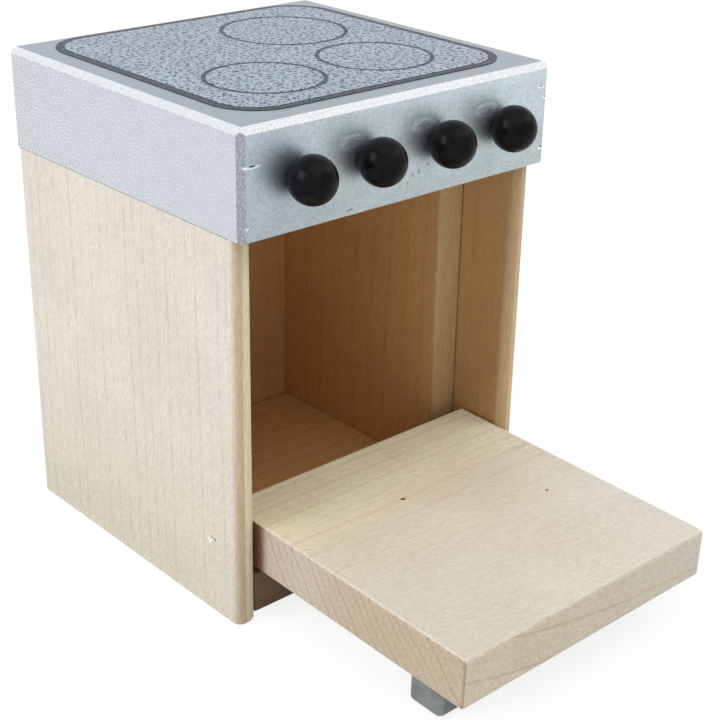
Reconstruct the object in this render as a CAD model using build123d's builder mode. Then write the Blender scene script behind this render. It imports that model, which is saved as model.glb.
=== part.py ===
"""Toy stove for a dolls' house: a silver hob block with ball knobs on a wooden cabinet with a drop-down oven door.

Millimetres. X runs left to right, Y from front to back and Z up. The origin is the middle of the cabinet's
footprint, on the ground. The door is drawn open, resting on its handle and drooping a little.
"""
from build123d import *
from math import cos, hypot, radians, sin
import os

# Overall sizes
stove_width = 70.0
stove_depth = 68.0
cabinet_height = 72.0
block_height = 18.5

# Side panels: their front edges are rounded over, tightly on the left and widely on the right
panel_thickness = 5.0
panel_nose_radius = 1.5
panel_wide_nose_radius = 3.2
panel_setback = 2.5
cabinet_rear_setback = 1.5
panel_edge_break = 0.4

# Oven: cheeks, back and floor boards between the side panels
liner_thickness = 6.0
liner_edge_radius = 0.7
back_thickness = 5.0
floor_thickness = 5.3

# Door, handle and hinge. The open door's free edge hangs lower than its hinge, by the droop in degrees.
pin_height = 14.65
handle_width = 7.6
handle_length = 52.8
handle_from_edge = 7.8
handle_corner_radius = 1.3
handle_edge_radius = 1.0
door_thickness = 9.4
door_droop = 1.0
door_side_gap = 0.3
door_top_gap = 0.9
door_recess = 3.8
door_heel = 3.4
door_edge_radius = 0.8
door_heel_radius = 1.8
door_end_radius = 0.6
pin_below_door_face = 3.85
door_lean_room = 2.2

# Hinge pins: small nails through the side panels into the door's ends
pin_radius = 0.6
pin_head_radius = 0.75
pin_head_thickness = 0.45
pin_head_sink = 0.12
pin_reach_in_door = 8.0
pin_tip_length = 1.2

# Plinth board under the door
plinth_recess = 4.3
plinth_thickness = 5.0
plinth_clearance = 0.3

# Hob block and the printed film on it
block_bevel = 1.1
block_corner_bevel = 1.1
block_foot_bevel = 0.12
print_thickness = 0.15
print_margin_left = 4.9
print_margin_right = 3.3
print_margin_front = 5.1
print_margin_rear = 1.8
print_corner_radius = 9.0
print_line_depth = 0.05
border_line_width = 1.6
ring_line_width = 0.8
small_ring_radius = 10.3
large_ring_radius = 11.8
ring_inset_left = 17.3
ring_inset_right = 19.5
ring_inset_front = 16.7
ring_inset_rear = 18.8

# Ball knobs and the dowel pegs that carry them
knob_places = (11.4, 26.2, 42.1, 57.1)
knob_radius = 4.1
knob_flat_offset = 3.45
knob_gap = 0.15
peg_radius = 1.5
peg_depth_in_block = 8.0
peg_depth_in_knob = 4.0
peg_end_chamfer = 0.3
bore_end_room = 0.4

# Fits: radial clearances
running_clearance = 0.06
glued_clearance = 0.02

# Places worked out from the sizes above
left_side = -stove_width / 2
right_side = stove_width / 2
block_front = -stove_depth / 2
block_rear = stove_depth / 2
cabinet_rear = block_rear - cabinet_rear_setback
inner_left = left_side + panel_thickness
inner_right = right_side - panel_thickness
back_front = cabinet_rear - back_thickness

door_below_pin = door_thickness - pin_below_door_face
pin_y = block_front + door_recess + door_below_pin
door_reach = cabinet_height - door_top_gap - pin_height
door_left = inner_left + door_side_gap
door_right = inner_right - door_side_gap
droop_cos = cos(radians(door_droop))
droop_sin = sin(radians(door_droop))

# The handle is as high as lets its rounded front edge touch the ground
handle_reach = door_reach - handle_from_edge
foot_drop = pin_height - handle_edge_radius - (handle_reach - handle_edge_radius) * droop_sin
handle_height = foot_drop / droop_cos + handle_edge_radius - door_below_pin

liner_front = pin_y + pin_below_door_face + door_lean_room
plinth_front = block_front + plinth_recess
plinth_rear = plinth_front + plinth_thickness
plinth_height = pin_height - hypot(door_heel, door_below_pin) - plinth_clearance

block_top = cabinet_height + block_height
knob_height = cabinet_height + block_height / 2
knob_centres = [left_side + place for place in knob_places]
pin_bore_radius = pin_radius + running_clearance
peg_bore_radius = peg_radius + running_clearance
peg_socket_radius = peg_radius + glued_clearance


def pin_plane(outer_face, inward):
    """The plane on a side panel's outer face where a hinge pin enters, with its normal pointing out."""
    return Plane(origin=(outer_face, pin_y, pin_height), x_dir=(0, 1, 0), z_dir=(-inward, 0, 0))


def side_panel(outer_face, inner_face):
    """One side of the cabinet, with the hinge pin's hole and the pocket that hides its head."""
    left, right = sorted((outer_face, inner_face))
    front = block_front + panel_setback
    inward = 1 if outer_face < inner_face else -1
    with BuildPart() as panel:
        with BuildSketch(Plane.XY):
            with BuildLine():
                FilletPolyline(
                    (left, cabinet_rear),
                    (right, cabinet_rear),
                    (right, front),
                    (left, front),
                    radius=[panel_edge_break, panel_edge_break, panel_wide_nose_radius, panel_nose_radius],
                    close=True,
                )
            make_face()
        extrude(amount=cabinet_height)
        with Locations(pin_plane(outer_face, inward)):
            CounterBoreHole(
                radius=pin_radius + glued_clearance,
                counter_bore_radius=pin_head_radius + glued_clearance,
                counter_bore_depth=pin_head_sink + pin_head_thickness,
            )
    return panel


def liner(outer_face, inner_face):
    """An inner cheek of the oven. Its front end stops the closed door, and its inner front edge is eased."""
    left, right = sorted((outer_face, inner_face))
    with BuildPart() as cheek:
        with BuildSketch(Plane.XY.offset(floor_thickness)):
            with Locations(((left + right) / 2, (liner_front + back_front) / 2)):
                Rectangle(right - left, back_front - liner_front)
        extrude(amount=cabinet_height - floor_thickness)
        front_edges = cheek.edges().filter_by(Axis.Z).group_by(Axis.Y)[0].sort_by(Axis.X)
        fillet(front_edges[-1] if inner_face > outer_face else front_edges[0], liner_edge_radius)
    return cheek


def flat_board(front, rear, height):
    """A board that fills the width between the side panels and stands on the ground."""
    with BuildPart() as board:
        with BuildSketch(Plane.XY):
            with Locations(((inner_left + inner_right) / 2, (front + rear) / 2)):
                Rectangle(inner_right - inner_left, rear - front)
        extrude(amount=height)
    return board


def hinge_pin(outer_face, inward):
    """A small nail: a flat head, a round shank and a short point, turned about its own axis."""
    entry = outer_face + inward * pin_head_sink
    length = panel_thickness - pin_head_sink + door_side_gap + pin_reach_in_door
    with BuildPart() as nail:
        with BuildSketch(Plane(origin=(entry, pin_y, pin_height), x_dir=(inward, 0, 0), z_dir=(0, -inward, 0))):
            with BuildLine():
                Polyline(
                    (0, 0),
                    (0, pin_head_radius),
                    (pin_head_thickness, pin_head_radius),
                    (pin_head_thickness, pin_radius),
                    (length - pin_tip_length, pin_radius),
                    (length, 0),
                    close=True,
                )
            make_face()
        revolve(axis=Axis((entry, pin_y, pin_height), (inward, 0, 0)))
    return nail


def knob_ball(centre_x):
    """A wooden ball turned with a flat back and a blind socket for its peg."""
    flat_radius = (knob_radius**2 - knob_flat_offset**2) ** 0.5
    flat_y = block_front - knob_gap
    with BuildPart() as ball:
        with BuildSketch(Plane(origin=(centre_x, flat_y, knob_height), x_dir=(1, 0, 0), z_dir=(0, 0, -1))):
            with BuildLine():
                Polyline(
                    (0, knob_flat_offset + knob_radius),
                    (0, peg_depth_in_knob),
                    (peg_socket_radius, peg_depth_in_knob),
                    (peg_socket_radius, 0),
                    (flat_radius, 0),
                )
                ThreePointArc(
                    (flat_radius, 0), (knob_radius, knob_flat_offset), (0, knob_flat_offset + knob_radius)
                )
            make_face()
        revolve(axis=Axis((centre_x, flat_y, knob_height), (0, -1, 0)))
    return ball


def knob_peg(centre_x):
    """The dowel glued into a knob, free to turn in its bore in the block."""
    start_y = block_front + peg_depth_in_block
    length = peg_depth_in_block + knob_gap + peg_depth_in_knob
    with BuildPart() as peg:
        with BuildSketch(Plane(origin=(centre_x, start_y, knob_height), x_dir=(1, 0, 0), z_dir=(0, -1, 0))):
            Circle(peg_radius)
        extrude(amount=length)
        chamfer(peg.faces().sort_by(Axis.Y)[-1].edges(), peg_end_chamfer)
    return peg


left_side_panel = side_panel(left_side, inner_left)
right_side_panel = side_panel(right_side, inner_right)
left_liner = liner(inner_left, inner_left + liner_thickness)
right_liner = liner(inner_right, inner_right - liner_thickness)
back_panel = flat_board(back_front, cabinet_rear, cabinet_height)
oven_floor = flat_board(plinth_rear, back_front, floor_thickness)
plinth = flat_board(plinth_front, plinth_rear, plinth_height)
left_hinge_pin = hinge_pin(left_side, 1)
right_hinge_pin = hinge_pin(right_side, -1)

# Door: one thick board, drawn around the hinge's axis in the open door's own plane. Its heel is rounded so that it
# can swing past the plinth.
door_section = Plane(origin=(0, pin_y, pin_height), x_dir=(0, droop_cos, droop_sin), z_dir=(1, 0, 0))
with BuildPart() as door:
    with BuildSketch(door_section.offset(door_left)):
        with BuildLine():
            FilletPolyline(
                (-door_reach, -door_below_pin),
                (door_heel, -door_below_pin),
                (door_heel, pin_below_door_face),
                (-door_reach, pin_below_door_face),
                radius=[door_edge_radius, door_heel_radius, door_edge_radius, door_edge_radius],
                close=True,
            )
        make_face()
    extrude(amount=door_right - door_left)
    door_ends = door.faces().filter_by(Axis.X)
    fillet(door_ends.edges(), door_end_radius)
    with Locations(
        Plane(origin=(door_left, pin_y, pin_height), x_dir=(0, 1, 0), z_dir=(-1, 0, 0)),
        Plane(origin=(door_right, pin_y, pin_height), x_dir=(0, 1, 0), z_dir=(1, 0, 0)),
    ):
        Hole(radius=pin_bore_radius, depth=pin_reach_in_door + bore_end_room)

# Handle: a bar glued across the door's outer face. The open door rests on it.
handle_seat = Plane(
    origin=door_section.from_local_coords((handle_width / 2 - handle_reach, -door_below_pin, 0)),
    x_dir=(1, 0, 0),
    z_dir=(0, droop_sin, -droop_cos),
)
with BuildPart() as door_handle:
    with BuildSketch(handle_seat):
        RectangleRounded(handle_length, handle_width, handle_corner_radius)
    extrude(amount=handle_height)
    fillet(door_handle.faces().sort_by(Axis.Z)[0].edges(), handle_edge_radius)

# Hob block: its top edges are bevelled first and its upright corners last, so that each corner bevel ends in a
# point between the two top bevels. Four bores take the knob pegs.
with BuildPart() as hob_block:
    with BuildSketch(Plane.XY.offset(cabinet_height)):
        Rectangle(stove_width, stove_depth)
    extrude(amount=block_height)
    chamfer(hob_block.faces().sort_by(Axis.Z)[-1].edges(), block_bevel)
    chamfer(hob_block.faces().sort_by(Axis.Z)[0].edges(), block_foot_bevel)
    with BuildSketch(Plane.XY.offset(cabinet_height)) as block_plan:
        Rectangle(stove_width, stove_depth)
        chamfer(block_plan.vertices(), block_corner_bevel)
    extrude(amount=block_height, mode=Mode.INTERSECT)
    with Locations(
        *[Plane(origin=(x, block_front, knob_height), x_dir=(1, 0, 0), z_dir=(0, -1, 0)) for x in knob_centres]
    ):
        Hole(radius=peg_bore_radius, depth=peg_depth_in_block + bore_end_room)

# Printed film on the hob. The border line along its edge and the three cooking rings are shallow grooves.
print_left = left_side + print_margin_left
print_right = right_side - print_margin_right
print_front = block_front + print_margin_front
print_rear = block_rear - print_margin_rear
print_middle = ((print_left + print_right) / 2, (print_front + print_rear) / 2)
print_size = (print_right - print_left, print_rear - print_front)
front_rings = [
    (print_left + ring_inset_left, print_front + ring_inset_front),
    (print_right - ring_inset_right, print_front + ring_inset_front),
]
rear_ring = (print_right - ring_inset_right, print_rear - ring_inset_rear)

with BuildPart() as hob_print:
    with BuildSketch(Plane.XY.offset(block_top)):
        with Locations(print_middle):
            RectangleRounded(*print_size, print_corner_radius)
    extrude(amount=print_thickness)
    with BuildSketch(Plane.XY.offset(block_top + print_thickness)):
        with Locations(print_middle):
            RectangleRounded(*print_size, print_corner_radius)
            RectangleRounded(
                *[size - 2 * border_line_width for size in print_size],
                print_corner_radius - border_line_width,
                mode=Mode.SUBTRACT,
            )
        for centres, radius in ((front_rings, small_ring_radius), ([rear_ring], large_ring_radius)):
            with Locations(*centres):
                Circle(radius + ring_line_width / 2)
                Circle(radius - ring_line_width / 2, mode=Mode.SUBTRACT)
    extrude(amount=-print_line_depth, mode=Mode.SUBTRACT)

pieces = {
    "left_side_panel": left_side_panel,
    "right_side_panel": right_side_panel,
    "left_liner": left_liner,
    "right_liner": right_liner,
    "back_panel": back_panel,
    "oven_floor": oven_floor,
    "plinth": plinth,
    "hob_block": hob_block,
    "hob_print": hob_print,
    "door": door,
    "door_handle": door_handle,
    "left_hinge_pin": left_hinge_pin,
    "right_hinge_pin": right_hinge_pin,
}
for number, centre_x in enumerate(knob_centres, start=1):
    pieces[f"knob_{number}"] = knob_ball(centre_x)
    pieces[f"knob_peg_{number}"] = knob_peg(centre_x)

os.makedirs("parts", exist_ok=True)
for name, piece in pieces.items():
    piece.part.label = name
    export_step(piece.part, f"parts/{name}.step")
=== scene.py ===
"""Looks of the toy stove, in metres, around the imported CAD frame.

X runs left to right, Y from front to back and Z up. Textures use millimetres of the CAD's own coordinates,
so grain, print and paint marks stay on their boards when the door and the knobs move.
"""

import bpy
from collections import namedtuple
from math import radians
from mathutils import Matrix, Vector


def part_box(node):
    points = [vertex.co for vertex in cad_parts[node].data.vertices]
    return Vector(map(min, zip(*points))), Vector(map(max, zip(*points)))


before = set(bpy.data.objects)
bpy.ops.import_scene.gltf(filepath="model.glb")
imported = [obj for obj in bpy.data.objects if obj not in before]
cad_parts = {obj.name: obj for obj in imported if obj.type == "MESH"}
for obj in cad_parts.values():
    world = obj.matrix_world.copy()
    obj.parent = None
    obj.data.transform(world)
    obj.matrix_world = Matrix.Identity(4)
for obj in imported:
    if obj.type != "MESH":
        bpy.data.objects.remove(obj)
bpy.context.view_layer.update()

MM = 0.001

# Camera
CAMERA_PLACE = (-0.16876, -0.20866, 0.15456)
CAMERA_TURN = (65.137, -1.045, -41.841)
CAMERA_LENS = 75.5
SENSOR_WIDTH = 36.0
CLIP_START = 0.01

# Studio. Lamps point at the object's middle, and the world is dimmer as a light than as a backdrop
OBJECT_MIDDLE = (0.0, -0.01, 0.05)
WHITE = (1.0, 1.0, 1.0)
WORLD_LEVEL = 0.55
FLOOR_SIZE = 6.0
FLOOR_GLOW = 1.15
FLOOR_GLOW_SHARE = 0.72

# Where boards meet and where the outside faces lie, in millimetres
LINER_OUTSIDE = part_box("right_liner")[1].x / MM
LINER_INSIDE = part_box("right_liner")[0].x / MM
LINER_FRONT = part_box("right_liner")[0].y / MM
OVEN_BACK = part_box("back_panel")[0].y / MM
OVEN_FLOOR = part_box("oven_floor")[1].z / MM
CABINET_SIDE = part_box("right_side_panel")[1].x / MM
CABINET_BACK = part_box("back_panel")[1].y / MM
BLOCK_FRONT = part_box("hob_block")[0].y / MM
BLOCK_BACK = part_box("hob_block")[1].y / MM
BLOCK_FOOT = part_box("hob_block")[0].z / MM

# The upright boards' painted light and shade change from the oven's floor up to here
OVEN_HEAD = 70.0

# Directions
AXES = {"X": (1.0, 0.0, 0.0), "Y": (0.0, 1.0, 0.0), "Z": (0.0, 0.0, 1.0)}
LEFTWARD = (-1.0, 0.0, 0.0)
RIGHTWARD = (1.0, 0.0, 0.0)
FRONTWARD = (0.0, -1.0, 0.0)
UPWARD = (0.0, 0.0, 1.0)

# Sanded edges of the boards, in millimetres and degrees
SANDED_WIDTH = 0.25
SANDED_STEPS = 2
SANDED_FROM = 50.0
WELD_REACH = 0.001


class Nodes:
    """A node tree, with one short call for each kind of node that repeats."""

    def __init__(self, tree):
        self.tree = tree

    def add(self, kind, inputs=None, **settings):
        node = self.tree.nodes.new(kind)
        for name, value in settings.items():
            setattr(node, name, value)
        for key, value in (inputs or {}).items():
            self.feed(node.inputs[key], value)
        return node

    def feed(self, socket, value):
        if isinstance(value, bpy.types.NodeSocket):
            self.tree.links.new(value, socket)
        else:
            socket.default_value = value

    def math(self, operation, first, *others):
        """The operation on one value, or on two and more in turn."""
        if not others:
            return self.add("ShaderNodeMath", {0: first}, operation=operation).outputs[0]
        for other in others:
            first = self.add("ShaderNodeMath", {0: first, 1: other}, operation=operation).outputs[0]
        return first

    def plus(self, *values):
        return self.math("ADD", *values)

    def minus(self, first, second):
        return self.math("SUBTRACT", first, second)

    def times(self, *values):
        return self.math("MULTIPLY", *values)

    def size(self, value):
        return self.math("ABSOLUTE", value)

    def limit(self, value):
        """The value, kept between 0 and 1."""
        return self.add("ShaderNodeClamp", {0: value}).outputs[0]

    def vector(self, operation, *values):
        node = self.add("ShaderNodeVectorMath", dict(enumerate(values)), operation=operation)
        scalar = operation in ("LENGTH", "DOT_PRODUCT", "DISTANCE")
        return node.outputs["Value" if scalar else "Vector"]

    def scale(self, vector, factor):
        node = self.add("ShaderNodeVectorMath", {0: vector, "Scale": factor}, operation="SCALE")
        return node.outputs["Vector"]

    def stretch(self, vector, factors):
        return self.vector("MULTIPLY", vector, factors)

    def split(self, vector):
        return self.add("ShaderNodeSeparateXYZ", {0: vector}).outputs

    def join(self, x, y, z):
        return self.add("ShaderNodeCombineXYZ", {0: x, 1: y, 2: z}).outputs[0]

    def noise(self, vector, scale, detail=2.0, roughness=0.5):
        inputs = {"Vector": vector, "Scale": scale, "Detail": detail, "Roughness": roughness}
        return self.add("ShaderNodeTexNoise", inputs).outputs["Fac"]

    def cells(self, vector, scale, randomness=1.0, dimensions="3D"):
        inputs = {"Vector": vector, "Scale": scale, "Randomness": randomness}
        return self.add("ShaderNodeTexVoronoi", inputs, voronoi_dimensions=dimensions)

    def ramp(self, value, low, high, to_low=0.0, to_high=1.0):
        """value from low to high becomes to_low to to_high, smoothly, and stays there outside."""
        inputs = {"Value": value, "From Min": low, "From Max": high, "To Min": to_low, "To Max": to_high}
        return self.add("ShaderNodeMapRange", inputs, interpolation_type="SMOOTHSTEP").outputs[0]

    def mix(self, share, first, second):
        """The first colour, with its share of the second."""
        node = self.add("ShaderNodeMix", data_type="RGBA")
        for socket, value in zip([s for s in node.inputs if s.enabled], (share, first, second)):
            if isinstance(value, tuple):
                value = (*value, 1.0)
            self.feed(socket, value)
        return node.outputs[2]

    def seen(self):
        """1 where the eye looks, directly, in a reflection or through glass, and 0 for spread light."""
        ray = self.add("ShaderNodeLightPath").outputs
        return self.math("MAXIMUM", ray["Is Camera Ray"], ray["Is Glossy Ray"], ray["Is Transmission Ray"])


class Shader(Nodes):
    """A material's nodes. place is in millimetres of the CAD's own coordinates, and normal belongs to it."""

    def __init__(self, name):
        self.material = bpy.data.materials.new(name)
        self.material.use_nodes = True
        super().__init__(self.material.node_tree)
        self.surface = self.tree.nodes["Principled BSDF"]
        coordinates = self.add("ShaderNodeTexCoord")
        self.normal = coordinates.outputs["Normal"]
        self.place = self.scale(coordinates.outputs["Object"], 1.0 / MM)

    def facing(self, direction, low, high):
        """0 to 1 as the surface turns towards a direction."""
        return self.ramp(self.vector("DOT_PRODUCT", self.normal, direction), low, high)

    def bumpy(self, vector, scale, step):
        """A fine noise, and its height over the noise a step away, which shades it like small bumps."""
        height = self.noise(vector, scale, roughness=0.6)
        beyond = self.noise(self.vector("ADD", vector, step), scale, roughness=0.6)
        return height, self.minus(height, beyond)

    def dent(self, place, half_size, wobble):
        """0 at the middle of a small mark, 1 at its rim and more outside, all in millimetres."""
        offset = self.vector("DIVIDE", self.vector("SUBTRACT", self.place, place), half_size)
        return self.minus(self.vector("LENGTH", offset), wobble)

    def bump(self, height, distance_mm, strength, under=None):
        inputs = {"Height": height, "Distance": distance_mm * MM, "Strength": strength}
        if under is not None:
            inputs["Normal"] = under
        return self.add("ShaderNodeBump", inputs).outputs["Normal"]

    def finish(self, **values):
        names = {"color": "Base Color", "specular": "Specular IOR Level"}
        for name, value in values.items():
            self.feed(self.surface.inputs[names.get(name, name.capitalize())], value)
        return self.material


def tinted(tone, *factors):
    """A tone times one factor, or times one for each of red, green and blue."""
    if len(factors) == 1:
        factors = 3 * factors
    return tuple(part * factor for part, factor in zip(tone, factors))


def middle(node):
    """The middle of a CAD node's box, in millimetres."""
    low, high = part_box(node)
    return (low + high) / 2 / MM


# Tones of a board's faces, streaks and ends
Tones = namedtuple("Tones", "face streak end")

# A board's rounded front edge, in painted light and shade: a darker tone for its flat, which faces the front,
# and a brighter one for its round, how far the surface has turned to the front where the flat's tone starts
# and ends, and the painted brightness of both at the oven's foot and head
Nose = namedtuple("Nose", "flat round start end foot head")

# Where a face that looks one way meets other boards, at a level of an axis, and how dark the joint is
Seam = namedtuple("Seam", "axis level depth facing")
GLUED = 0.8
FITTED = 0.35

# A change of tone over the faces that look one way, from none at one level of an axis to all at another
Tint = namedtuple("Tint", "facing axis start end factors")

# A small spot, stretched along the grain: a knot, or pale wood beside a nail
Spot = namedtuple("Spot", "place radius tone")

# A single streak across Y, and a growth line on the front face that rises on both sides of its middle
Band = namedtuple("Band", "middle half_width depth")
FrontLine = namedtuple("FrontLine", "middle lowest")
BAND_SWAY = 5.0
FRONT_LINE_SWAY = 2.0
FRONT_LINE_BOW = 0.0025

# Waves in a millimetre, along the grain and across it
SWAY_WAVES = (0.012, 0.05)
BREAK_WAVES = (0.22, 0.7)
FIBRE_WAVES = (0.42, 2.6)
DASH_WAVES = (0.30, 2.4)
PORE_WAVES = (0.96, 1.6)

# The step between two looks at the pores, in waves, which shades them
PORE_STEP = (0.192, 0.192, 0.192)
PORE_SHADING = 0.45

# Shares of the streak's tone that the parts of the grain take
END_RINGS = 0.62
FIBRES = 0.26
DASHES = 0.16
FRONT_LINES = 0.36

# Darker tones, as shares of the streak's tone
END_STREAK = 0.62
SEAM_STREAK = 0.35

# Depths below the outside at which its tones start and are full, in millimetres
SKIN_START = 0.6
SKIN_FULL = 0.1

# Height of the sanded surface and of the grain, in millimetres
SANDED_RELIEF = 0.09
GRAIN_RELIEF = 0.035


class Board(Shader):
    """A sanded board's material, with the fields that its tones and its relief share.

    The rings lie round a heart line that runs along the grain, so that faces and ends agree.
    """

    def __init__(self, name, grain, heart, ring_step, sway):
        super().__init__(name)
        self.along = AXES[grain]
        self.level = dict(zip("XYZ", self.split(self.place)))
        self.facing_x, self.facing_y, self.facing_z = self.split(self.normal)
        self.endward = self.size(self.vector("DOT_PRODUCT", self.normal, self.along))
        self.facing_end = self.ramp(self.endward, 0.6, 0.8)
        slow = self.by_grain(self.place, *SWAY_WAVES)
        self.drift = self.minus(self.noise(self.vector("ADD", slow, (7.3, 2.1, 4.4)), 1.0), 0.5)
        wander = self.minus(self.noise(slow, 1.0), 0.5)
        self.rings = self.late_wood(heart, ring_step, self.times(wander, 4.0 * sway))
        self.fibres = self.noise(self.by_grain(self.place, *FIBRE_WAVES), 1.0, detail=3.0, roughness=0.7)
        dash_cells = self.cells(self.by_grain(self.place, *DASH_WAVES), 1.0)
        self.dashes = self.ramp(dash_cells.outputs["Distance"], 0.22, 0.06)
        pore_place = self.by_grain(self.place, *PORE_WAVES)
        self.pores, self.pore_slope = self.bumpy(pore_place, 1.0, PORE_STEP)

    def by_grain(self, vector, lengthwise, crosswise):
        """The vector, scaled along the grain and across it."""
        return self.stretch(vector, tuple(lengthwise if part else crosswise for part in self.along))

    def late_wood(self, heart, ring_step, shift):
        """The rings' dark late wood, which comes on slowly, ends sharply and differs from ring to ring."""
        across = tuple(1.0 - part for part in self.along)
        reach = self.vector("LENGTH", self.vector("SUBTRACT", self.stretch(self.place, across), heart))
        rings = self.math("DIVIDE", self.plus(reach, shift), ring_step)
        phase = self.math("FRACT", rings)
        number = self.join(self.math("FLOOR", rings), 0.0, 0.0)
        strength = self.ramp(self.noise(number, 0.77, detail=0.0), 0.3, 0.7, 0.3)
        return self.times(self.ramp(phase, 0.66, 0.93), self.ramp(phase, 1.0, 0.95), strength)

    def streak_share(self, ring_contrast, fade):
        """How much of the streak's tone a place shows, from rings, fibres, dashes and broad blotches."""
        broken = self.noise(self.by_grain(self.place, *BREAK_WAVES), 1.0)
        face_rings = self.times(self.rings, self.ramp(broken, 0.40, 0.60, 0.35, 1.15))
        if fade:
            face_rings = self.times(face_rings, self.ramp(self.level["Y"], *fade))
        on_faces = self.times(face_rings, self.ramp(self.facing_end, 1.0, 0.0, 0.0, ring_contrast))
        on_ends = self.times(self.rings, self.facing_end, END_RINGS)
        fibres = self.ramp(self.fibres, 0.28, 0.76, 0.0, FIBRES)
        blotches = self.ramp(self.noise(self.place, 0.055, detail=3.0), 0.3, 0.7, -0.06, 0.08)
        return self.plus(on_faces, on_ends, fibres, self.times(self.dashes, DASHES), blotches)

    def band(self, middle, half_width, depth):
        wavy = self.plus(self.level["Y"], self.times(self.drift, BAND_SWAY))
        return self.ramp(self.size(self.minus(wavy, middle)), half_width, 0.0, 0.0, depth)

    def front_line(self, middle, lowest):
        aside = self.minus(self.level["X"], middle)
        bow = self.times(aside, aside, FRONT_LINE_BOW)
        height = self.plus(bow, self.times(self.drift, FRONT_LINE_SWAY), lowest)
        off_line = self.size(self.minus(self.level["Z"], height))
        on_line = self.ramp(off_line, 0.42, 0.05, 0.0, FRONT_LINES)
        return self.times(on_line, self.ramp(self.facing_y, -0.7, -0.9))

    def grain_colour(self, share, tones, fade):
        """Faces and ends in their own tones, shaded by the pores and dark at the ends' front corners."""
        face = tones.face
        if fade:
            # Towards fade's second place the faces turn warmer, partly in the wood's tone and partly as
            # painted warm bounce light
            warm_tone_and_bounce = tinted(face, 1.07, 1.02, 0.91)
            face = self.mix(self.ramp(self.level["Y"], fade[0], fade[1]), face, warm_tone_and_bounce)
        end_streak = tinted(tones.streak, END_STREAK)
        ground = self.mix(self.facing_end, face, tones.end)
        colour = self.mix(share, ground, self.mix(self.facing_end, tones.streak, end_streak))
        colour = self.scale(colour, self.plus(1.0, self.times(self.pore_slope, PORE_SHADING)))
        corner = self.times(self.ramp(self.endward, 0.45, 0.6), self.ramp(self.endward, 0.98, 0.9))
        corner = self.times(corner, self.ramp(self.facing_y, -0.1, -0.3, 0.0, 0.7))
        return self.mix(corner, colour, end_streak)

    def from_foot_to_head(self, foot, head):
        return self.ramp(self.level["Z"], OVEN_FLOOR, OVEN_HEAD, foot, head)

    def with_nose(self, colour, nose):
        # Painted shade on the flat that faces the front and painted light on the round, streaked by the
        # fibres and given the painted brightness of the oven's foot and head
        streaked_shade = self.ramp(self.fibres, 0.3, 0.7, 1.1, 0.88)
        streaked_shade = self.times(streaked_shade, self.from_foot_to_head(nose.foot, nose.head))
        on_flat = self.ramp(self.facing_y, nose.start, nose.end, 0.0, 0.9)
        colour = self.mix(on_flat, colour, self.scale(nose.flat, streaked_shade))
        on_round = self.times(self.ramp(self.facing_x, 0.04, 0.14), self.ramp(self.facing_y, -0.1, -0.3))
        return self.mix(self.times(on_round, 0.85), colour, self.scale(nose.round, streaked_shade))

    def with_skin(self, colour, share, tones):
        """Unshaded wood tones on the cabinet's sides, back and underside, instead of the boards' painted
        shade.
        """
        side = self.ramp(self.size(self.level["X"]), CABINET_SIDE - SKIN_START, CABINET_SIDE - SKIN_FULL)
        back = self.ramp(self.level["Y"], CABINET_BACK - SKIN_START, CABINET_BACK - SKIN_FULL)
        under = self.ramp(self.facing_z, -0.5, -0.8)
        skin = self.mix(share, self.mix(self.facing_end, tones.face, tones.end), tones.streak)
        return self.mix(self.math("MAXIMUM", side, back, under), colour, skin)

    def with_tint(self, colour, tint):
        on_face = self.facing(tint.facing, 0.6, 0.9)
        amount = self.times(on_face, self.ramp(self.level[tint.axis], tint.start, tint.end))
        return self.mix(amount, colour, self.stretch(colour, tint.factors))

    def with_spot(self, colour, spot):
        offset = self.by_grain(self.vector("SUBTRACT", self.place, spot.place), 0.7, 1.0)
        wobble = self.times(self.noise(self.place, 2.2), 0.5 * spot.radius)
        away = self.minus(self.vector("LENGTH", offset), wobble)
        return self.mix(self.ramp(away, 0.9 * spot.radius, 0.3 * spot.radius), colour, spot.tone)

    def with_seam(self, colour, seam, tone):
        off_seam = self.size(self.minus(self.level[seam.axis], seam.level))
        off_seam = self.plus(off_seam, self.times(self.noise(self.place, 0.9), 0.15))
        depth = self.ramp(off_seam, 0.36, 0.12, 0.0, seam.depth)
        return self.mix(self.times(depth, self.facing(seam.facing, 0.3, 0.6)), colour, tone)

    def relief(self, tooth):
        height = self.minus(self.fibres, self.times(self.rings, 0.5))
        height = self.minus(height, self.times(self.dashes, 0.6))
        return self.bump(height, GRAIN_RELIEF, 0.8, self.bump(self.pores, tooth, 0.7))


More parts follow.
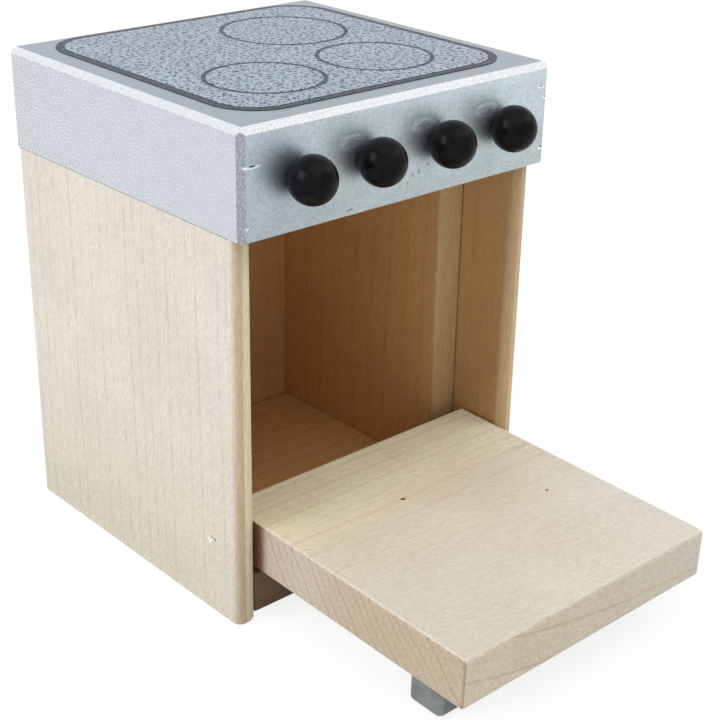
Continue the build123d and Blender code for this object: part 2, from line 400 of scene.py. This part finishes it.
def wood(
    name, grain, tones, heart, ring_step, ring_contrast, sway=1.6,
    outer=None, rise=None, fade=None, nose=None, tooth=SANDED_RELIEF,
    seams=(), bands=(), front_lines=(), spots=(), tints=(),
):
    """Sanded limewood.

    grain is the axis along the fibres, heart the place of the heart line across them, ring_step the rings'
    width and sway how far they wander, in millimetres. ring_contrast is the rings' strength on the faces.
    outer holds the wood's own tones for the cabinet's outside, where the board's tones hold painted shade.
    rise is
    painted shade: the wood's brightness at the oven's foot and its head. fade gives two places on Y and the
    strength of the faces' rings at each, and the faces are warmer at the second, partly in the wood's tone
    and partly as painted warm bounce light. tooth is the height of the sanded surface in millimetres.
    """
    board = Board(name, grain, heart, ring_step, sway)
    share = board.streak_share(ring_contrast, fade)
    streaks = [board.band(*band) for band in bands] + [board.front_line(*line) for line in front_lines]
    share = board.limit(board.plus(share, *streaks) if streaks else share)
    colour = board.grain_colour(share, tones, fade)
    if rise:
        colour = board.scale(colour, board.from_foot_to_head(*rise))
    if nose:
        colour = board.with_nose(colour, nose)
    if outer:
        colour = board.with_skin(colour, share, outer)
    for tint in tints:
        colour = board.with_tint(colour, tint)
    for spot in spots:
        colour = board.with_spot(colour, spot)
    for seam in seams:
        colour = board.with_seam(colour, seam, tinted(tones.streak, SEAM_STREAK))
    return board.finish(
        color=colour,
        roughness=board.ramp(board.fibres, 0.2, 0.8, 0.50, 0.66),
        specular=0.3,
        normal=board.relief(tooth),
    )


# Waves in a millimetre of the paint's orange peel, and the step that shades it
PEEL_SCALE = 2.4
PEEL_STEP = (0.0, 0.16, -0.16)
PEEL_SHADING = 0.8

# Flakes and fine grit in a millimetre, and the heights of the peel and the flakes in millimetres
FLAKE_SCALE = 6.0
FINE_SCALE = 6.0
PEEL_RELIEF = 0.075
FLAKE_RELIEF = 0.008

# Where along X the block's front loses its blue tinge, and where along X and Z painted light brightens it, in
# millimetres
FRONT_HUE_X = (-34.0, -16.0)
FRONT_BRIGHTER_X = (-28.0, 16.0)
FRONT_BRIGHTER_Z = (BLOCK_FOOT, BLOCK_FOOT + 18.0)

# A mark on the block's front: its place and its half sizes, in millimetres
FrontMark = namedtuple("FrontMark", "x z half_width half_height")
MARK_HALF_DEPTH = 1.0

# The marks where the brush dragged, to the left of some knobs
DRAGGED_KNOBS = (2, 3, 4)
DRAG_ASIDE = 3.4
DRAG_Z = 84.4
DRAG_HALF_SIZE = (3.2, 1.5)


class SilverPaint(Shader):
    """Sprayed aluminium paint with flakes and an orange peel that is coarser on the sides."""

    def __init__(self, name):
        super().__init__(name)
        self.peel, self.peel_slope = self.bumpy(self.place, PEEL_SCALE, PEEL_STEP)
        self.fine = self.noise(self.place, FINE_SCALE)
        self.flake = self.split(self.cells(self.place, FLAKE_SCALE).outputs["Color"])[0]
        self.drawn = self.noise(self.stretch(self.place, (0.9, 1.0, 3.2)), 1.0, detail=3.0, roughness=0.7)
        self.x, self.y, self.z = self.split(self.normal)
        self.place_x, self.place_y, self.place_z = self.split(self.place)
        self.facing_side = self.ramp(self.size(self.x), 0.7, 0.9)
        self.facing_front = self.ramp(self.y, -0.9, -1.0)
        rearward = self.ramp(self.place_y, BLOCK_FRONT, BLOCK_BACK, 0.35, 1.5)
        self.coarse = self.times(self.facing_side, rearward)

    def coat(self, tone, mottle):
        """Flakes, painted glints on the peel's crests, cloudy stains and painted light and shade of the
        orange peel.
        """
        flakes_and_glints = self.plus(self.times(self.flake, 0.45), self.ramp(self.peel, 0.3, 0.7, 0.0, 0.55))
        colour = self.mix(flakes_and_glints, tinted(tone, 0.88), tinted(tone, 1.12))
        stains = self.noise(self.place, 0.35, detail=5.0, roughness=0.65)
        colour = self.mix(self.ramp(stains, 0.42, 0.66, 0.0, mottle), colour, tinted(tone, 0.7))
        return self.scale(colour, self.plus(1.0, self.times(self.peel_slope, self.coarse, PEEL_SHADING)))

    # Painted shade: the faces that look up are darker and bluer
    def with_top(self, colour):
        facing_up = self.ramp(self.z, 0.9, 1.0, 0.0, 0.9)
        return self.mix(facing_up, colour, self.stretch(colour, (0.515, 0.57, 0.615)))

    def with_front(self, colour):
        """The front, smudged and drawn sideways by the brush, with painted shade at its foot and its left
        end.
        """
        cloud = self.noise(self.stretch(self.place, (0.12, 0.12, 0.25)), 1.0, detail=4.0)
        smudge_and_shade = self.times(
            self.ramp(cloud, 0.35, 0.65, 0.79, 0.86),
            self.ramp(self.drawn, 0.30, 0.70, 0.91, 1.07),
            self.ramp(self.place_z, *FRONT_BRIGHTER_Z, 0.91, 1.12),
            self.ramp(self.place_x, *FRONT_BRIGHTER_X, 1.0, 1.13),
        )
        hue = self.mix(self.ramp(self.place_x, *FRONT_HUE_X), (0.955, 1.03, 1.08), (0.945, 1.01, 0.99))
        return self.mix(self.facing_front, colour, self.scale(self.stretch(colour, hue), smudge_and_shade))

    def with_bevels(self, colour, top_bevel):
        """A grainy painted highlight on the top bevels, and a streaked, painted dark reflection on the
        upright ones.
        """
        grit = self.ramp(self.noise(self.place, 4.4, detail=1.0), 0.42, 0.54, 0.2, 1.0)
        bevel_highlight = self.mix(self.ramp(self.y, -0.4, -0.6), (0.74, 0.76, 0.78), (0.88, 0.895, 0.91))
        colour = self.mix(self.times(top_bevel, grit), colour, bevel_highlight)
        off_side = self.ramp(self.size(self.x), 0.45, 0.6)
        off_front = self.ramp(self.size(self.y), 0.45, 0.6)
        streaks = self.noise(self.stretch(self.place, (3.4, 3.4, 2.2)), 1.0, detail=3.0)
        # Painted dark reflection on the upright bevels, in streaks
        streaked_shade = self.times(off_side, off_front, self.ramp(streaks, 0.35, 0.65, 0.95, 0.45))
        return self.mix(streaked_shade, colour, (0.26, 0.27, 0.295))

    def front_dent(self, mark, wobble, lift=0.0):
        """The dent of a mark on the front, lifted by a share of its half height."""
        place = (mark.x, BLOCK_FRONT, mark.z + lift * mark.half_height)
        return self.dent(place, (mark.half_width, MARK_HALF_DEPTH, mark.half_height), wobble)

    def with_nick(self, colour, mark):
        # A nick: a dark hollow, with a painted highlight on its rim
        painted_rim_highlight = self.ramp(self.front_dent(mark, self.times(self.fine, 0.5)), 1.5, 1.0)
        dark = self.ramp(self.front_dent(mark, self.fine, lift=0.8), 0.3, 0.0)
        return self.mix(dark, self.mix(painted_rim_highlight, colour, (0.88, 0.90, 0.92)), (0.03, 0.03, 0.035))

    def with_scuff(self, colour, mark):
        away = self.front_dent(mark, self.times(self.peel, 1.4))
        return self.mix(self.ramp(away, 0.4, -0.2, 0.0, 0.6), colour, (0.20, 0.21, 0.21))

    def relief(self, drags):
        """Orange peel, and on the front the brush's lines, which are deep where it dragged."""
        height = self.plus(self.peel, self.times(self.fine, 0.5))
        height = self.times(height, self.plus(self.coarse, self.ramp(self.facing_side, 1.0, 0.0, 0.0, 0.25)))
        drag = self.times(self.facing_front, 0.6)
        for mark in drags:
            away = self.front_dent(mark, self.times(self.fine, 0.8))
            drag = self.plus(drag, self.ramp(away, 0.6, 0.0, 0.0, 2.4))
        height = self.plus(height, self.times(self.drawn, drag))
        return self.bump(height, PEEL_RELIEF, 0.6, self.bump(self.flake, FLAKE_RELIEF, 0.5))


def silver_paint(name, tone, mottle=0.06, bevelled=False, nicks=(), scuffs=(), drags=()):
    """Silver paint. mottle is the depth of its cloudy stains, and drags are where the brush dragged."""
    paint = SilverPaint(name)
    colour = paint.with_front(paint.with_top(paint.coat(tone, mottle)))
    metal = 0.97
    if bevelled:
        top_bevel = paint.times(paint.ramp(paint.z, 0.4, 0.6), paint.ramp(paint.z, 0.95, 0.8))
        colour = paint.with_bevels(colour, top_bevel)
        # The top bevels lose their metal, so that their painted highlight shows as a bright colour
        metal = paint.ramp(top_bevel, 0.0, 1.0, metal, 0.1)
    for mark in nicks:
        colour = paint.with_nick(colour, mark)
    for mark in scuffs:
        colour = paint.with_scuff(colour, mark)
    satin = paint.ramp(paint.fine, 0.25, 0.75, 0.28, 0.38)
    return paint.finish(
        color=colour,
        metallic=metal,
        roughness=paint.plus(satin, paint.times(paint.facing_front, 0.12)),
        specular=0.5,
        normal=paint.relief(drags),
    )


# The printed film, in millimetres, with the rings' centres and radii
FILM_CORNER = 9.0
BORDER_WIDTH = 1.6
BORDER_BLUR = 0.06
RING_WIDTH = 0.8
RING_BLUR = 0.05
RINGS = (((12.2, 13.4), 11.8), ((12.2, -12.2), 10.3), ((-12.8, -12.2), 10.3))
FILM_GROUND = (0.358, 0.426, 0.517)
FILM_LINE = (0.016, 0.024, 0.042)
FILM_INK = (0.010, 0.023, 0.054)

# Layers of flecks: a shift of their pattern, cells in a millimetre, reach in cells and depth of the faintest
Flecks = namedtuple("Flecks", "shift cells reach faintest")
FLECKS = (Flecks(17.0, 0.72, 0.27, 0.9), Flecks(5.0, 0.80, 0.21, 0.55), Flecks(9.0, 1.5, 0.13, 0.0))


def film_border(s, x, y):
    """1 on the line that runs round the film, with rounded corners."""
    low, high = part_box("hob_print")
    half_x, half_y, _ = (high - low) / 2 / MM
    out_x = s.minus(s.size(x), half_x - FILM_CORNER)
    out_y = s.minus(s.size(y), half_y - FILM_CORNER)
    corner = s.vector("LENGTH", s.join(s.math("MAXIMUM", out_x, 0.0), s.math("MAXIMUM", out_y, 0.0), 0.0))
    inward = s.minus(FILM_CORNER, s.math("MAXIMUM", corner, s.math("MAXIMUM", out_x, out_y)))
    rough_edge = s.times(s.minus(s.noise(s.place, 2.5), 0.5), 0.25)
    return s.ramp(s.plus(inward, rough_edge), BORDER_WIDTH + BORDER_BLUR, BORDER_WIDTH - BORDER_BLUR)


def film_flecks(s, flat, flecks):
    """The depth of ink of one layer of ragged flecks."""
    jag = s.times(s.minus(s.noise(flat, 2.4), 0.5), 0.4)
    spots = s.cells(s.vector("ADD", flat, (flecks.shift, 2.0 * flecks.shift, 0.0)), flecks.cells, 0.85, "2D")
    chance_of_depth, chance_of_size, _ = s.split(spots.outputs["Color"])
    away = s.plus(s.math("DIVIDE", spots.outputs["Distance"], flecks.cells), jag)
    away = s.minus(away, s.times(chance_of_size, 0.12))
    depth = s.ramp(chance_of_depth, 0.0, 1.0, flecks.faintest, 1.0)
    return s.times(s.ramp(away, flecks.reach, flecks.reach - 0.10), depth)


def film_ring(s, centre, radius):
    """1 on a ring's line."""
    away = s.vector("DISTANCE", s.stretch(s.place, (1.0, 1.0, 0.0)), (*centre, 0.0))
    off_line = s.size(s.minus(away, radius))
    return s.ramp(off_line, RING_WIDTH / 2 + RING_BLUR, RING_WIDTH / 2 - RING_BLUR)


def hob_film(name):
    """Satin film with a blue-grey speckle, a dark border line and three ring lines."""
    s = Shader(name)
    x, y, _ = s.split(s.vector("SUBTRACT", s.place, tuple(middle("hob_print"))))
    flat = s.join(x, y, 0.0)
    cloud = s.ramp(s.noise(flat, 0.09, detail=3.0), 0.3, 0.7)
    colour = s.mix(cloud, FILM_GROUND, tinted(FILM_GROUND, 1.1))
    for flecks in FLECKS:
        colour = s.mix(film_flecks(s, flat, flecks), colour, FILM_INK)
    for centre, radius in RINGS:
        colour = s.mix(film_ring(s, centre, radius), colour, FILM_LINE)
    return s.finish(
        color=s.mix(film_border(s, x, y), colour, FILM_LINE),
        roughness=s.ramp(s.noise(flat, 0.7, detail=3.0), 0.3, 0.7, 0.30, 0.42),
        specular=0.18,
        normal=s.bump(s.noise(flat, 1.3), 0.01, 0.5),
    )


def black_lacquer(name):
    """Dipped satin black over turned wood, with a faint turning line and dust in the coat."""
    s = Shader(name)
    cloud = s.noise(s.place, 0.5, detail=3.0)
    dust = s.times(s.ramp(s.cells(s.place, 2.3).outputs["Distance"], 0.09, 0.04), 0.4)
    turning = s.noise(s.stretch(s.place, (0.3, 4.0, 0.3)), 1.0)
    colour = s.mix(s.ramp(cloud, 0.3, 0.7), (0.003, 0.003, 0.004), (0.008, 0.008, 0.009))
    return s.finish(
        color=s.mix(dust, colour, (0.05, 0.05, 0.052)),
        roughness=s.ramp(cloud, 0.3, 0.7, 0.24, 0.33),
        specular=0.07,
        normal=s.bump(s.plus(turning, dust), 0.012, 0.5),
    )


# The brown stain at the front edge of a hinge nail's head, as Y, Z and half sizes in millimetres
STAIN_Y = -25.1
STAIN_Z = 14.8
STAIN_HALF_SIZE = (1.0, 0.35, 0.4)


def nail_steel(name, side):
    """Plain nail wire with a dull skin and a brown stain. side is the head's X."""
    s = Shader(name)
    away = s.dent((side, STAIN_Y, STAIN_Z), STAIN_HALF_SIZE, s.times(s.noise(s.place, 3.0), 0.5))
    skin = s.ramp(s.noise(s.place, 1.1, detail=4.0), 0.46, 0.60, 0.0, 0.5)
    stain = s.math("MAXIMUM", skin, s.ramp(away, 0.8, 0.2))
    return s.finish(
        color=s.mix(stain, (0.80, 0.77, 0.69), (0.10, 0.05, 0.03)),
        metallic=0.2,
        roughness=s.ramp(stain, 0.0, 1.0, 0.38, 0.6),
        normal=s.bump(s.noise(s.place, 7.0), 0.01, 0.6),
    )


# Tones of the boards. PALE and DOOR are the wood's own tones. The tones of the liners, the right panel, the
# back and the oven's floor are that pale wood with painted shade, darker and warmer where the oven's inside
# lies in shade, and the plinth's tones are its painted shade under the open door. The dowels take the right
# panel's tones.
PALE = Tones((0.755, 0.695, 0.61), (0.50, 0.42, 0.31), (0.56, 0.47, 0.36))
DOOR = Tones((0.79, 0.728, 0.625), (0.57, 0.42, 0.26), (0.56, 0.455, 0.335))
DEEP_SHADE = Tones((0.745, 0.445, 0.185), (0.44, 0.23, 0.085), (0.52, 0.30, 0.13))
WARM_SHADE = Tones((0.60, 0.365, 0.165), (0.42, 0.23, 0.095), (0.43, 0.28, 0.14))
SHADE = Tones((0.19, 0.115, 0.073), (0.11, 0.065, 0.04), (0.15, 0.09, 0.058))
BACK = Tones((0.63, 0.36, 0.16), (0.40, 0.20, 0.08), (0.43, 0.25, 0.12))
FLOOR = Tones((0.66, 0.385, 0.165), (0.40, 0.20, 0.08), (0.42, 0.25, 0.12))

# Front edges of the upright boards, with painted shade on their flats and painted light on their rounds
LEFT_NOSE = Nose((0.60, 0.47, 0.29), (0.86, 0.76, 0.55), start=-0.3, end=-0.9, foot=1.0, head=1.0)
RIGHT_NOSE = Nose((0.54, 0.375, 0.205), (0.72, 0.53, 0.31), start=-0.08, end=-0.3, foot=1.10, head=0.90)
LINER_NOSE = Nose((0.50, 0.335, 0.17), (0.62, 0.44, 0.24), start=-0.08, end=-0.3, foot=0.78, head=1.17)


def liner(name, side, heart, ring_step, ring_contrast):
    """An inner cheek of the oven. side is -1 on the left and 1 on the right."""
    inward = RIGHTWARD if side < 0 else LEFTWARD
    return wood(
        name, "Z", DEEP_SHADE, heart, ring_step, ring_contrast, outer=PALE, rise=(0.9, 1.1), nose=LINER_NOSE,
        seams=(
            Seam("X", side * LINER_OUTSIDE, GLUED, FRONTWARD),
            Seam("Y", OVEN_BACK, FITTED, inward),
            Seam("Z", OVEN_FLOOR, FITTED, inward),
        ),
    )


def cheek_seams(facing):
    """The joints of the oven's floor and back with its two cheeks."""
    return tuple(Seam("X", side * LINER_INSIDE, FITTED, facing) for side in (-1, 1))


def door_wood():
    """The door board, with growth lines near the hinge, two knots, and painted shadow and light on its ends.
    """
    end_tints = []
    # Painted light: the ends grow brighter and bluer towards the front, away from the cabinet
    for side in (LEFTWARD, RIGHTWARD):
        end_tints.append(Tint(side, "Y", -56.0, -40.0, (1.10, 1.14, 1.32)))
    # Painted shadow: the ends are dark beside the hinge, where the side boards shade them
    for side in (LEFTWARD, RIGHTWARD):
        end_tints.append(Tint(side, "Y", -33.1, -30.6, (0.40, 0.22, 0.17)))
    return wood(
        "door_board", "X", DOOR, (0.0, -157.0, 88.0), 1.75, 0.28,
        sway=1.2, fade=(-66.0, -34.0, 0.25, 1.0), tooth=0.2,
        bands=(
            Band(-24.4, 0.5, 0.22),
            Band(-28.2, 0.45, 0.20),
            Band(-32.3, 0.5, 0.24),
            Band(-36.4, 0.4, 0.14),
            Band(-40.0, 0.6, 0.16),
        ),
        front_lines=(FrontLine(29.0, 4.8), FrontLine(35.0, 9.9)),
        spots=(
            Spot((-4.2, -40.2, 18.2), 0.42, (0.16, 0.09, 0.04)),
            Spot((18.4, -54.4, 18.0), 0.35, (0.36, 0.20, 0.13)),
        ),
        # Painted shade darkens the front face and warms it towards its left, and painted light lifts the top
        # near the hinge out of the cabinet's shadow. The top is also darker towards its left end and cooler
        # towards its right.
        tints=(
            Tint(FRONTWARD, "X", 40.0, 39.0, (0.93, 0.92, 0.92)),
            Tint(FRONTWARD, "X", 40.0, -32.0, (0.985, 0.945, 0.85)),
            Tint(UPWARD, "Y", -46.0, -31.0, (1.12, 1.17, 1.13)),
            Tint(UPWARD, "X", 0.0, -24.0, (0.95, 0.955, 0.95)),
            Tint(UPWARD, "X", 4.0, 26.0, (1.01, 1.03, 1.06)),
            *end_tints,
        ),
    )


def block_paint():
    """The hob block's paint, nicked at its edges, scuffed below the knobs and dragged beside some."""
    drags = []
    for number in DRAGGED_KNOBS:
        drags.append(FrontMark(middle(f"knob_{number}").x - DRAG_ASIDE, DRAG_Z, *DRAG_HALF_SIZE))
    return silver_paint(
        "silver_paint", (0.60, 0.64, 0.68), bevelled=True,
        nicks=(
            FrontMark(-32.7, 84.2, 1.1, 0.2),
            FrontMark(-33.75, 74.5, 0.18, 0.2),
            FrontMark(33.6, 74.9, 0.6, 0.2),
            FrontMark(33.8, 84.2, 0.4, 0.2),
            FrontMark(32.6, 86.2, 0.6, 0.15),
        ),
        scuffs=(
            FrontMark(4.9, 77.4, 0.5, 0.35),
            FrontMark(2.9, 76.5, 0.4, 0.5),
            FrontMark(1.5, 76.1, 0.35, 0.5),
            FrontMark(0.3, 74.9, 0.3, 0.35),
            FrontMark(-12.6, 73.0, 0.9, 0.3),
        ),
        drags=drags,
    )


materials = {
    "left_side_panel": wood(
        "limewood_left", "Z", PALE, (-20.0, 160.0, 0.0), 2.9, 0.34, nose=LEFT_NOSE,
        spots=(Spot((-CABINET_SIDE, -23.7, 14.1), 0.5, (0.95, 0.91, 0.83)),),
        tints=(Tint(LEFTWARD, "Z", 36.0, 0.0, (0.915, 0.905, 0.85)),),
    ),
    "right_side_panel": wood(
        "limewood_right", "Z", WARM_SHADE, (60.0, -160.0, 0.0), 3.1, 0.26, outer=PALE, rise=(0.89, 1.09),
        nose=RIGHT_NOSE,
        seams=(Seam("Y", LINER_FRONT, GLUED, LEFTWARD),),
    ),
    "left_liner": liner("liner_left", -1, (-70.0, 140.0, 0.0), 3.0, 0.26),
    "right_liner": liner("liner_right", 1, (60.0, 150.0, 0.0), 5.0, 0.28),
    "back_panel": wood(
        "back_board", "Z", BACK, (-120.0, 60.0, 0.0), 4.2, 0.30, outer=PALE,
        seams=(*cheek_seams(FRONTWARD), Seam("Z", OVEN_FLOOR, FITTED, FRONTWARD)),
    ),
    "oven_floor": wood(
        "floor_board", "X", FLOOR, (0.0, 100.0, -60.0), 3.2, 0.40, outer=PALE,
        seams=(*cheek_seams(UPWARD), Seam("Y", OVEN_BACK, FITTED, UPWARD)),
    ),
    # The plinth is pale wood, and its dark tones are painted shade under the open door.
    "plinth": wood("plinth_board", "X", SHADE, (0.0, 30.0, -40.0), 3.0, 0.30, outer=PALE),
    "door": door_wood(),
    "hob_block": block_paint(),
    # The handle has the block's silver paint: its darker tone is painted shade under the open door, and its
    # deep mottle is weathering.
    "door_handle": silver_paint("shaded_handle_paint", (0.24, 0.256, 0.25), mottle=0.7),
    "hob_print": hob_film("hob_film"),
    "left_hinge_pin": nail_steel("nail_left", -CABINET_SIDE),
    "right_hinge_pin": nail_steel("nail_right", CABINET_SIDE),
}
for number in range(1, 5):
    materials[f"knob_{number}"] = black_lacquer(f"black_lacquer_{number}")
    materials[f"knob_peg_{number}"] = wood(f"dowel_{number}", "Y", WARM_SHADE, (22.0, 0.0, 60.0), 1.2, 0.3)

for node, material in materials.items():
    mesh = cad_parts[node].data
    mesh.materials.clear()
    mesh.materials.append(material)


def sand_edges(board):
    """Sawn boards get their sanded edges."""
    weld = board.modifiers.new("joined", "WELD")
    weld.merge_threshold = WELD_REACH * MM
    edges = board.modifiers.new("sanded_edges", "BEVEL")
    edges.width = SANDED_WIDTH * MM
    edges.segments = SANDED_STEPS
    edges.limit_method = "ANGLE"
    edges.angle_limit = radians(SANDED_FROM)
    edges.harden_normals = True


for side in ("left", "right"):
    sand_edges(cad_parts[f"{side}_liner"])
    sand_edges(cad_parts[f"{side}_side_panel"])
for node in ("back_panel", "oven_floor", "plinth"):
    sand_edges(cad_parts[node])


def floor_material():
    """White to the camera and in reflections, with the object's shadow kept."""
    s = Shader("floor_white")
    ground = s.mix(s.noise(s.place, 0.01), (0.80, 0.80, 0.80), (0.82, 0.82, 0.82))
    s.finish(color=ground, roughness=0.9, specular=0.1)
    glow = s.add("ShaderNodeEmission", {"Color": (*WHITE, 1.0), "Strength": FLOOR_GLOW})
    share = s.times(s.seen(), FLOOR_GLOW_SHARE)
    blend = s.add("ShaderNodeMixShader", {0: share, 1: s.surface.outputs[0], 2: glow.outputs[0]})
    s.feed(s.tree.nodes["Material Output"].inputs["Surface"], blend.outputs[0])
    return s.material


bpy.ops.mesh.primitive_plane_add(size=FLOOR_SIZE, location=(0.0, 0.0, 0.0))
floor = bpy.context.object
floor.name = "floor"
floor.data.materials.append(floor_material())


def studio_world():
    """White where the eye sees it, and dimmer as a light."""
    world = bpy.data.worlds.new("studio")
    world.use_nodes = True
    nodes = Nodes(world.node_tree)
    background = world.node_tree.nodes["Background"].inputs
    nodes.feed(background["Color"], (*WHITE, 1.0))
    nodes.feed(background["Strength"], nodes.ramp(nodes.seen(), 0.0, 1.0, WORLD_LEVEL, 1.0))
    return world


bpy.context.scene.world = studio_world()


def softbox(name, place, width, power, colour=WHITE):
    """A square soft light that points at the object's middle."""
    light = bpy.data.lights.new(name, "AREA")
    light.shape = "SQUARE"
    light.size = width
    light.energy = power
    light.color = colour
    lamp = bpy.data.objects.new(name, light)
    bpy.context.scene.collection.objects.link(lamp)
    lamp.location = place
    direction = Vector(OBJECT_MIDDLE) - lamp.location
    lamp.rotation_euler = direction.to_track_quat("-Z", "Y").to_euler()


softbox("key", (-0.78, 0.12, 0.52), 0.45, 3.9, (0.95, 0.98, 1.0))
softbox("overhead", (-0.05, -0.42, 0.86), 0.8, 2.0)
softbox("right_fill", (0.52, -0.38, 0.58), 0.3, 0.7)

camera_data = bpy.data.cameras.new("camera")
camera_data.lens = CAMERA_LENS
camera_data.sensor_width = SENSOR_WIDTH
camera_data.clip_start = CLIP_START
camera = bpy.data.objects.new("camera", camera_data)
bpy.context.scene.collection.objects.link(camera)
camera.location = CAMERA_PLACE
camera.rotation_euler = tuple(radians(angle) for angle in CAMERA_TURN)
bpy.context.scene.camera = camera

bpy.context.scene.view_settings.view_transform = "Standard"
